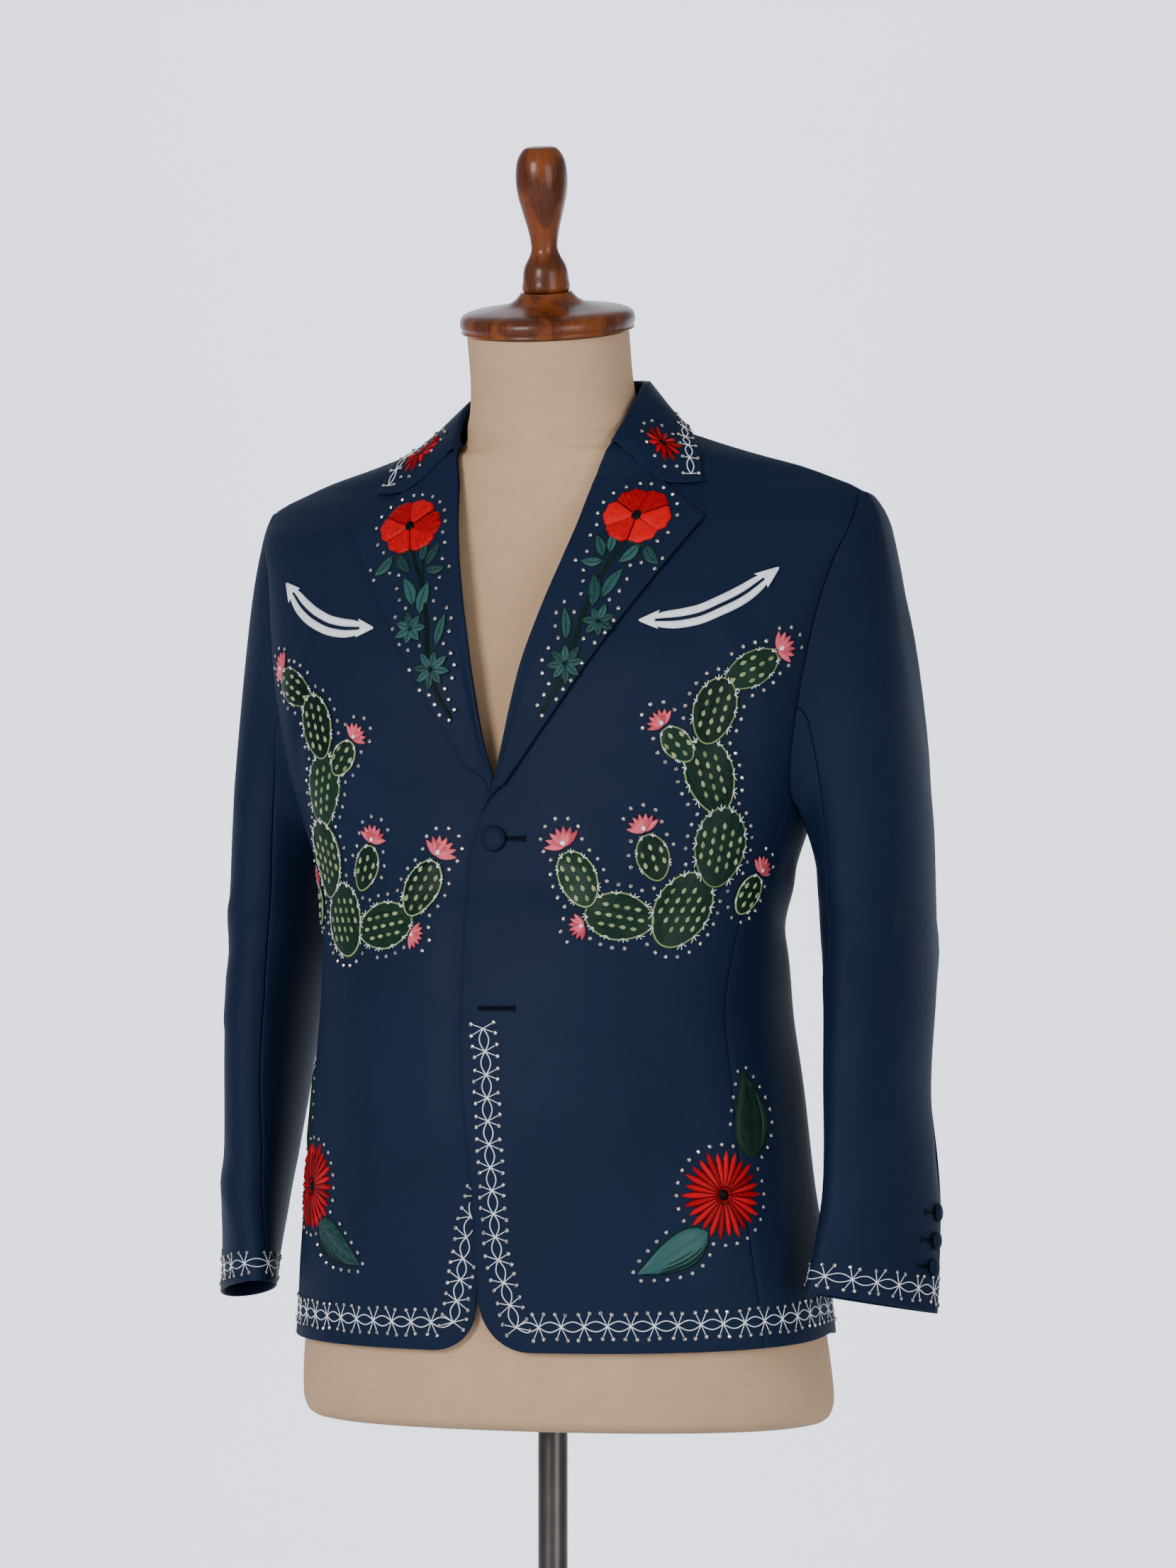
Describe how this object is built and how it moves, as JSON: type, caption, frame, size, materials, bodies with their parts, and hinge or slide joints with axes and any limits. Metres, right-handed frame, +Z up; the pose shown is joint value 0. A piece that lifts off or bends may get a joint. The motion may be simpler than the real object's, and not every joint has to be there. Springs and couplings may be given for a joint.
{
  "type": "embroidered western suit jacket on a dress form",
  "caption": "Notch-lapel western suit jacket with smile pockets and cuff buttons, hung on a limbless dress form with a neck plate, finial, pole and round base.",
  "frame": {"origin": "centre of the underside of the round base, on the pole's axis", "axes": "+Z up, -Y out of the jacket's front, +X toward the wearer's left"},
  "size_m": [0.5986, 0.33, 1.6735],
  "materials": {
    "navy_worsted": "matt worsted cloth",
    "white_satin": "satin",
    "beige_cover": "matt cloth cover",
    "red_brown_wood": "gloss varnish",
    "dark_metal": "satin"
  },
  "bodies": {
    "root": {"front_left": "navy_worsted", "side_left": "navy_worsted", "back_left": "navy_worsted", "lapel_left": "navy_worsted", "top_sleeve_left": "navy_worsted", "under_sleeve_left": "navy_worsted", "pocket_upper_left": "white_satin", "pocket_lower_left": "white_satin", "pocket_arrow_inner_left": "white_satin", "pocket_arrow_outer_left": "white_satin", "cuff_button_left_1": "navy_worsted", "cuff_button_left_2": "navy_worsted", "cuff_button_left_3": "navy_worsted", "front_right": "navy_worsted", "side_right": "navy_worsted", "back_right": "navy_worsted", "lapel_right": "navy_worsted", "top_sleeve_right": "navy_worsted", "under_sleeve_right": "navy_worsted", "pocket_upper_right": "white_satin", "pocket_lower_right": "white_satin", "pocket_arrow_inner_right": "white_satin", "pocket_arrow_outer_right": "white_satin", "cuff_button_right_1": "navy_worsted", "cuff_button_right_2": "navy_worsted", "cuff_button_right_3": "navy_worsted", "collar": "navy_worsted", "front_button": "navy_worsted", "dress_form": "beige_cover", "neck_plate": "red_brown_wood", "finial": "red_brown_wood", "pole": "dark_metal", "stand_base": "dark_metal"}
  },
  "joints": []
}
